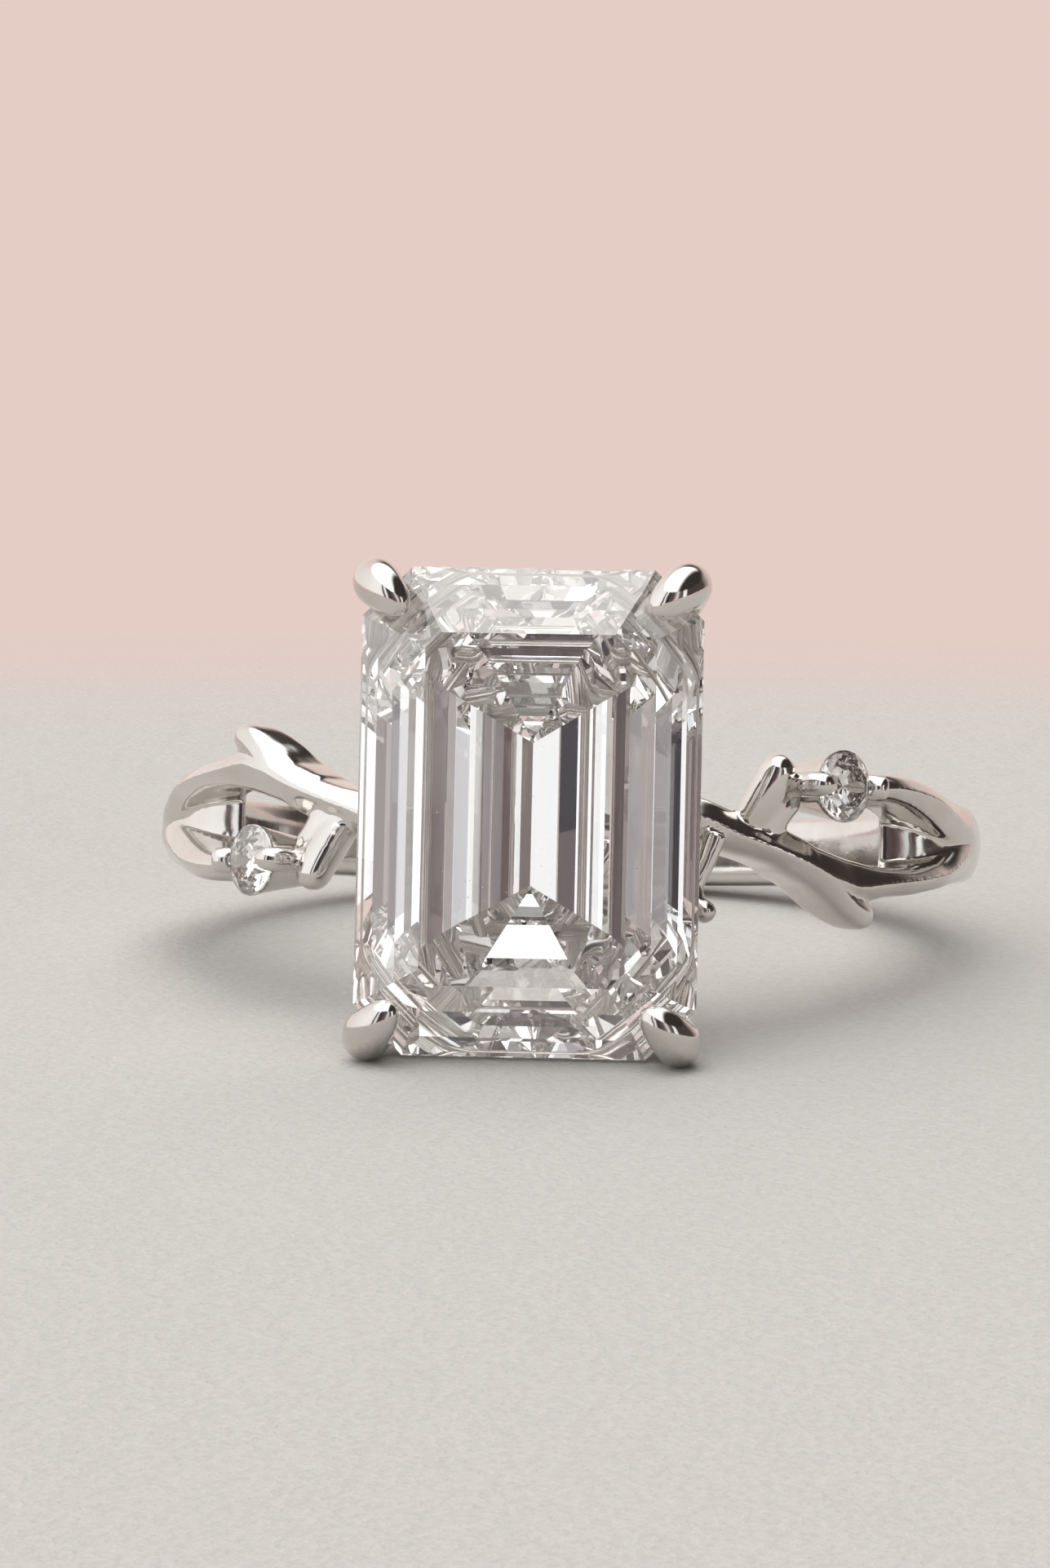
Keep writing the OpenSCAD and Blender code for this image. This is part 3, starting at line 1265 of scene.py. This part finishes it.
@dataclass
class SideSetting:
    """A round side stone in its cup, held by a long claw and a short one.

    Attributes:
        ring: the ring's own frame.
        metal: the finish of the cup and the claws.
        gem: the stone's finish.
        side: the half of the ring that it is on.
        radius: the stone's radius.
        angle: where it stands round the band, in degrees.
        lift: the girdle's distance from the bore's axis.
        height: its height along that axis.
        lean: how far it leans from straight out, in degrees.
        cup: the cup's outline, as distance from the stone's axis and height over the girdle.
        steps: how many steps the cup is turned in.
        long_claw: the claw on the centre stone's side, from the girdle's middle.
        short_claw: the claw on the far side.
        rough_sides: how many sides the stone's rough has.
        rough: the rough's depth, in radii.
        girdle: half of the girdle's thickness, in radii.
        crown: the table's height over the girdle, in radii.
    """

    ring: RingFrame
    metal: bpy.types.Material
    gem: bpy.types.Material
    side: Side
    radius: float = 0.825
    angle: float = 41.0
    lift: float = 10.3
    height: float = 0.97
    lean: float = 5.0
    cup: tuple = (
        (0.34, -1.45), (0.5, -1.45), (0.56, -1.4), (0.7, -0.6), (0.77, -0.22), (0.8, -0.1),
        (0.8, -0.03), (0.76, 0.0), (0.7, -0.06), (0.46, -0.4), (0.36, -0.6), (0.34, -0.7),
    )
    steps: int = 64
    rough_sides: int = 32
    rough: float = 2.2
    girdle: float = 0.03
    crown: float = 0.3
    long_claw: Wire = Wire(
        (
            (-0.9, 0.0, -1.3, 0.25), (-0.97, 0.0, -0.7, 0.28), (-0.97, 0.0, -0.15, 0.29),
            (-0.9, 0.0, 0.12, 0.28), (-0.78, 0.0, 0.26, 0.25), (-0.6, 0.0, 0.32, 0.18),
        ),
        outward=(0.0, 1.0, 0.0),
    )
    short_claw: Wire = Wire(
        (
            (0.95, 0.0, -1.3, 0.28), (0.98, 0.0, -0.6, 0.29), (0.98, 0.0, -0.05, 0.3),
            (0.93, 0.0, 0.17, 0.29), (0.82, 0.0, 0.33, 0.25),
        ),
        outward=(0.0, 1.0, 0.0),
        square=4.0,
    )

    def build(self) -> None:
        """Makes the cup, the claws and the stone."""
        self._cup()
        self._claw(self.long_claw, "inner")
        self._claw(self.short_claw, "outer")
        self._stone()

    def _place(self) -> Matrix:
        """Finds where the setting stands.

        Returns:
            The setting's own millimetres, with Z out of its table, to frame metres.
        """
        turn = Matrix.Rotation(math.radians(self.angle), 4, "Z")
        stand = turn @ Matrix.Translation((0, -self.lift, self.height))
        lean = Matrix.Rotation(math.radians(self.lean), 4, "Z") @ Matrix.Rotation(math.pi / 2, 4, "X")
        return self.ring.matrix @ self.side.turn @ stand @ lean

    def _cup(self) -> None:
        """Turns the cup."""
        bm = bmesh.new()
        verts = [bmesh.ops.create_vert(bm, co=(r, 0, z))["vert"][0] for r, z in self.cup]
        for a, b in zip(verts, verts[1:] + verts[:1]):
            bmesh.ops.contextual_create(bm, geom=[a, b])
        bmesh.ops.spin(
            bm,
            geom=bm.verts[:] + bm.edges[:],
            axis=(0, 0, 1),
            angle=2 * math.pi,
            steps=self.steps,
            use_merge=True,
        )
        name = f"{self.side.word}_accent_cup"
        cup = finish_piece(bm, f"{name}_turned", self._place(), self.metal)
        ease_edges(cup, CREASE_DEG)
        settle(cup, [name])

    def _claw(self, wire: Wire, which: str) -> None:
        """Draws a claw.

        Args:
            wire: its shape.
            which: its word in the node's name.
        """
        bm = bmesh.new()
        draw_skin(bm, wire.rings(Side.RIGHT))
        name = f"{self.side.word}_accent_{which}_claw"
        claw = finish_piece(bm, f"{name}_drawn", self._place(), self.metal)
        settle(claw, [name])

    def _stone(self) -> None:
        """Cuts the round stone."""
        r = self.radius
        edge, table = self.girdle * r, self.girdle * r + self.crown * r
        bm = bmesh.new()
        bmesh.ops.create_cone(
            bm,
            cap_ends=True,
            segments=self.rough_sides,
            radius1=r,
            radius2=r,
            depth=self.rough * r,
        )
        for facets in (
            # The crown: by the girdle, its eight kites, and round the table.
            Facets(tilt_deg=41.0, reach=r * 0.995, level=edge, count=16, start_deg=11.25),
            Facets(tilt_deg=34.5, reach=r, level=edge, count=8),
            Facets(tilt_deg=24.0, reach=r * 0.6, level=table, count=8, start_deg=22.5),
            # The pavilion: by the girdle, and its eight long facets.
            Facets(tilt_deg=42.3, reach=r * 0.995, level=-edge, count=16, start_deg=11.25),
            Facets(tilt_deg=40.8, reach=r, level=-edge, count=8),
        ):
            cut_stone(bm, facets.planes())
        cut_stone(bm, [(Vector((0, 0, table)), Vector((0, 0, 1)))])
        name = f"{self.side.word}_accent_stone"
        stone = finish_piece(bm, f"{name}_cut", self._place(), self.gem, smooth=False)
        settle(stone, [name])


@dataclass(frozen=True)
class Rail:
    """A rail under the centre stone, an oblong with cut corners.

    Attributes:
        node: the CAD node that it stands for.
        wide: half of its width.
        long: half of its length.
        corner: how far its corners are cut back.
        low: its inner face's distance from the bore's axis.
        high: its outer face's distance from the bore's axis.
    """

    node: str
    wide: float
    long: float
    corner: float
    low: float
    high: float


@dataclass
class ClawHead:
    """The two rails under the centre stone and the four claws that hold it.

    Attributes:
        ring: the ring's own frame.
        metal: its finish.
        rails: the two rails.
        wall: how thick their walls are.
        soft_corner: how far back their corners are rounded.
        corner_steps: how many flats a rounded corner has.
        soft_edge: how far back their edges are rounded.
        edge_steps: how many flats a rounded edge has.
        sharp_deg: edges that turn more than this are rounded.
        claw: the claw at the top right.
    """

    ring: RingFrame
    metal: bpy.types.Material
    rails: tuple = (
        Rail("base_rail", wide=2.35, long=3.25, corner=0.9, low=8.98, high=9.75),
        Rail("gallery_rail", wide=3.1, long=4.7, corner=1.45, low=10.9, high=11.6),
    )
    wall: float = 0.5
    soft_corner: float = 0.45
    corner_steps: int = 5
    soft_edge: float = 0.16
    edge_steps: int = 4
    sharp_deg: float = 50.0
    claw: Wire = Wire(
        (
            (1.85, -9.3, 2.7, 0.4), (2.2, -10.2, 3.2, 0.42), (2.7, -11.4, 3.95, 0.44),
            (3.22, -12.6, 4.7, 0.48), (3.4, -13.3, 4.97, 0.52), (3.36, -13.8, 4.92, 0.53),
            (3.16, -14.15, 4.72, 0.48), (2.86, -14.3, 4.44, 0.36), (2.66, -14.3, 4.26, 0.24),
        ),
        outward=(1.0, 0.0, -1.0),
        sides=28,
    )

    def build(self) -> None:
        """Makes the rails and the claws."""
        for rail in self.rails:
            self._rail(rail)
        for across, side in ((-1, "left"), (1, "right")):
            for along, level in ((1, "top"), (-1, "bottom")):
                self._claw(f"claw_{level}_{side}", across, along)

    def _claw(self, node: str, across: int, along: int) -> None:
        """Draws a claw.

        Args:
            node: the CAD node that it stands for.
            across: 1 for the right-hand side, -1 for the left.
            along: 1 for the top, -1 for the bottom.
        """
        bm = bmesh.new()
        draw_skin(bm, self.claw.rings(Side.RIGHT))
        bmesh.ops.scale(bm, vec=(across, 1, along), verts=bm.verts[:])
        claw = finish_piece(bm, f"{node}_drawn", self.ring.matrix, self.metal)
        settle(claw, [node])

    def _rail(self, rail: Rail) -> None:
        """Casts a rail.

        Args:
            rail: its sizes.
        """
        corners = []
        for x, z in ((1, 1), (-1, 1), (-1, -1), (1, -1)):
            pair = [
                Vector((x * rail.wide, -rail.low, z * (rail.long - rail.corner))),
                Vector((x * (rail.wide - rail.corner), -rail.low, z * rail.long)),
            ]
            corners += pair if x * z > 0 else pair[::-1]
        bm = bmesh.new()
        bmesh.ops.create_circle(bm, cap_ends=True, segments=len(corners), radius=1.0)
        for vert, corner in zip(bm.verts, corners):
            vert.co = corner
        self._round_off(bm, bm.verts[:], self.soft_corner, self.corner_steps, "VERTICES")
        plate = bm.faces[:]
        bmesh.ops.inset_region(
            bm,
            faces=plate,
            thickness=self.wall,
            use_boundary=True,
            use_even_offset=True,
        )
        bmesh.ops.delete(bm, geom=plate, context="FACES_ONLY")
        grown = bmesh.ops.extrude_face_region(bm, geom=bm.faces[:])["geom"]
        fresh = [g for g in grown if isinstance(g, bmesh.types.BMVert)]
        bmesh.ops.translate(bm, vec=(0, rail.low - rail.high, 0), verts=fresh)
        bmesh.ops.recalc_face_normals(bm, faces=bm.faces[:])
        sharp = [e for e in bm.edges if e.calc_face_angle(0.0) > math.radians(self.sharp_deg)]
        self._round_off(bm, sharp, self.soft_edge, self.edge_steps, "EDGES")
        cast = finish_piece(bm, f"{rail.node}_cast", self.ring.matrix, self.metal)
        ease_edges(cast, CREASE_DEG)
        settle(cast, [rail.node])

    def _round_off(self, bm: bmesh.types.BMesh, geom: list, back: float, steps: int, kind: str) -> None:
        """Rounds corners or edges off.

        Args:
            bm: the mesh.
            geom: its corners or edges.
            back: how far back the rounding starts.
            steps: how many flats it has.
            kind: VERTICES or EDGES.
        """
        bmesh.ops.bevel(
            bm,
            geom=geom,
            offset=back,
            segments=steps,
            profile=0.5,
            affect=kind,
            material=-1,
        )


# ---------------------------------------------------------------- studio


@dataclass(frozen=True)
class Studio:
    """The cloth that the ring lies on, the soft room and the camera.

    Attributes:
        ring: the ring's own frame.
        low: the lowest corner of the part, in metres.
        aim: the point that the camera looks at, in ring millimetres.
        turn_deg: how far the camera stands round towards +X.
        drop_deg: how far below the ring's own plane it stands.
        roll_deg: its lean.
        away: its distance from the aim, in millimetres.
        lens: its focal length, in millimetres.
        sensor: its sensor's long side, in millimetres.
        shift: how far the sensor is shifted, as a share of its long side.
        clip: the nearest and the furthest that it sees, in metres.
        cloth_reach: how far the cloth runs, in millimetres.
        cloth_sides: corners of the cloth's round edge.
        bounces: how many times light may bounce.
        room: stops round the horizon, from behind, past the left, the camera and the right.
        ceiling: the bright ceiling's light.
        slope: which way the ceiling faces.
        dim_ceiling: the light of its dark part and of the dark corner.
        plain: the backdrop as the camera sees it.
        ceiling_edge: where the ceiling starts, along its slope.
        right_edge: where its dark part starts, on X.
        behind_edge: where the dark corner starts, on Y.
        above_edge: where it starts, on Z.
        beside_edge: where it starts, on X.
    """

    ring: RingFrame
    low: Vector
    aim: tuple = (0.0, -12.15, 0.0)
    turn_deg: float = 4.5
    drop_deg: float = 2.5
    roll_deg: float = 1.3
    away: float = 120.0
    lens: float = 124.97
    sensor: float = 36.0
    shift: tuple = (-0.0044, 0.0195)
    clip: tuple = (0.001, 10.0)
    cloth_reach: float = 4000.0
    cloth_sides: int = 96
    bounces: int = 32
    room: tuple = (
        (-180, (0.9, 0.74, 0.68)),
        (-120, (1.15, 1.11, 1.07)),
        (-60, (1.3, 1.3, 1.29)),
        (-28, (1.25, 1.25, 1.25)),
        (-26, (0.14, 0.1, 0.1)),
        (-20, (0.13, 0.09, 0.09)),
        (-18, (1.2, 1.22, 1.25)),
        (-12, (1.15, 1.17, 1.2)),
        (-9, (0.14, 0.1, 0.1)),
        (-2, (0.045, 0.04, 0.05)),
        (4, (0.035, 0.035, 0.045)),
        (6, (0.17, 0.12, 0.115)),
        (13, (0.1, 0.07, 0.07)),
        (19, (0.2, 0.15, 0.145)),
        (23, (0.45, 0.38, 0.36)),
        (29, (0.85, 0.88, 0.92)),
        (34, (0.9, 0.92, 0.95)),
        (36, (0.24, 0.2, 0.19)),
        (43, (0.22, 0.18, 0.16)),
        (46, (0.09, 0.07, 0.06)),
        (51, (0.1, 0.08, 0.07)),
        (53, (1.3, 1.3, 1.28)),
        (62, (1.3, 1.3, 1.28)),
        (66, (0.08, 0.065, 0.06)),
        (120, (0.09, 0.075, 0.065)),
        (150, (0.8, 0.68, 0.63)),
        (180, (0.9, 0.74, 0.68)),
    )
    ceiling: tuple = (2.2, 2.18, 2.14)
    slope: tuple = (0.3, 0.0, 1.0)
    dim_ceiling: tuple = (0.05, 0.042, 0.038)
    plain: tuple = (0.78, 0.61, 0.56)
    ceiling_edge: tuple = (0.63, 0.7)
    right_edge: tuple = (0.26, 0.5)
    behind_edge: tuple = (0.1, 0.4)
    above_edge: tuple = (0.3, 0.5)
    beside_edge: tuple = (-0.2, 0.1)

    def build(self) -> None:
        """Makes the cloth, the light and the camera."""
        self._floor()
        self._world()
        self._camera()

    def _floor(self) -> None:
        """Lays the cloth under the part's lowest corner."""
        reach = self.cloth_reach * MM
        bm = bmesh.new()
        bmesh.ops.create_circle(bm, cap_ends=True, segments=self.cloth_sides, radius=reach)
        cloth = SuedeCloth(far=self.plain).material()
        floor = finish_piece(bm, "cloth", Matrix.Translation((0, 0, self.low.z)), cloth)
        floor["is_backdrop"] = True

    def _world(self) -> None:
        """Lights the room, which the camera itself sees as a plain backdrop."""
        scene = bpy.context.scene
        scene.view_settings.view_transform = "Standard"
        scene.cycles.max_bounces = self.bounces
        scene.cycles.transmission_bounces = self.bounces
        scene.cycles.glossy_bounces = self.bounces
        world = bpy.data.worlds.new("soft_room")
        scene.world = world
        world.use_nodes = True
        nodes = Nodes(world.node_tree)
        way = nodes.add("TexCoord").outputs["Generated"]
        walls = self._walls(nodes, way)
        split = nodes.add("SeparateXYZ")
        nodes.link(way, split.inputs[0])
        height = nodes.add("VectorMath", operation="DOT_PRODUCT")
        nodes.link(way, height.inputs[0])
        height.inputs[1].default_value = self.slope
        corner = nodes.blend(nodes.past(split.outputs["Z"], self.above_edge), walls, self.dim_ceiling)
        corner = nodes.blend(nodes.past(split.outputs["Y"], self.behind_edge), walls, corner)
        corner = nodes.blend(nodes.past(split.outputs["X"], self.beside_edge), walls, corner)
        right = nodes.past(split.outputs["X"], self.right_edge)
        ceiling = nodes.blend(right, self.ceiling, self.dim_ceiling)
        sky = nodes.blend(nodes.past(height.outputs["Value"], self.ceiling_edge), corner, ceiling)
        room = nodes.feed(nodes.add("Background"), Color=sky)
        plain = nodes.feed(nodes.add("Background"), Color=(*self.plain, 1.0))
        seen = nodes.add("LightPath").outputs["Is Camera Ray"]
        nodes.finish("OutputWorld", nodes.either(seen, room.outputs[0], plain.outputs[0]))

    def _walls(self, nodes: Nodes, way: bpy.types.NodeSocket) -> bpy.types.NodeSocket:
        """Colours the room's walls round the horizon.

        Args:
            nodes: the room's node tree.
            way: the way that is looked in.

        Returns:
            The walls' colour.
        """
        split = nodes.add("SeparateXYZ")
        nodes.link(way, split.inputs[0])
        front = nodes.add("Math", operation="MULTIPLY")
        nodes.link(split.outputs["Y"], front.inputs[0])
        front.inputs[1].default_value = -1.0
        turn = nodes.add("Math", operation="ARCTAN2")
        nodes.link(split.outputs["X"], turn.inputs[0])
        nodes.link(front.outputs[0], turn.inputs[1])
        ramp = nodes.add("ValToRGB")
        nodes.link(nodes.remap(turn.outputs[0], -math.pi, math.pi, 0.0, 1.0), ramp.inputs["Fac"])
        stops = ramp.color_ramp.elements
        for i, (angle, colour) in enumerate(self.room):
            spot = (angle + 180) / 360
            stop = stops[i] if i < len(stops) else stops.new(spot)
            stop.position = spot
            stop.color = (*colour, 1.0)
        return ramp.outputs["Color"]

    def _camera(self) -> None:
        """Stands the camera before the centre stone."""
        turn, drop, roll = (math.radians(a) for a in (self.turn_deg, self.drop_deg, self.roll_deg))
        back = Vector((math.sin(turn) * math.cos(drop), -math.cos(turn) * math.cos(drop), -math.sin(drop)))
        right = (-back).cross(Vector((0, 0, 1))).normalized()
        up = right.cross(-back)
        right, up = (
            right * math.cos(roll) + up * math.sin(roll),
            up * math.cos(roll) - right * math.sin(roll),
        )
        lean = Matrix.Rotation(-self.ring.tilt, 3, "X")
        axes = Matrix([lean @ a for a in (right, up, back)]).transposed()
        data = bpy.data.cameras.new("camera")
        data.lens = self.lens
        data.sensor_width = self.sensor
        data.shift_x, data.shift_y = self.shift
        data.clip_start, data.clip_end = self.clip
        camera = bpy.data.objects.new("camera", data)
        camera.rotation_mode = "QUATERNION"
        camera.rotation_quaternion = axes.to_quaternion()
        camera.location = self.ring.point(Vector(self.aim) + back * self.away)
        bpy.context.scene.collection.objects.link(camera)
        bpy.context.scene.camera = camera


def main() -> None:
    """Builds the ring's visible model, then the studio round it."""
    logging.basicConfig(level=logging.INFO, format="%(message)s")
    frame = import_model()
    low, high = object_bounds()
    ring = RingFrame.from_record(frame["record"])
    metal, gem = PolishedGold().material(), CutDiamond().material()
    TwigBand(ring, metal).build()
    for side in Side:
        SideSetting(ring, metal, gem, side).build()
    ClawHead(ring, metal).build()
    CentreStone(ring, gem).build()
    Studio(ring, low).build()


if __name__ == "__main__":
    main()
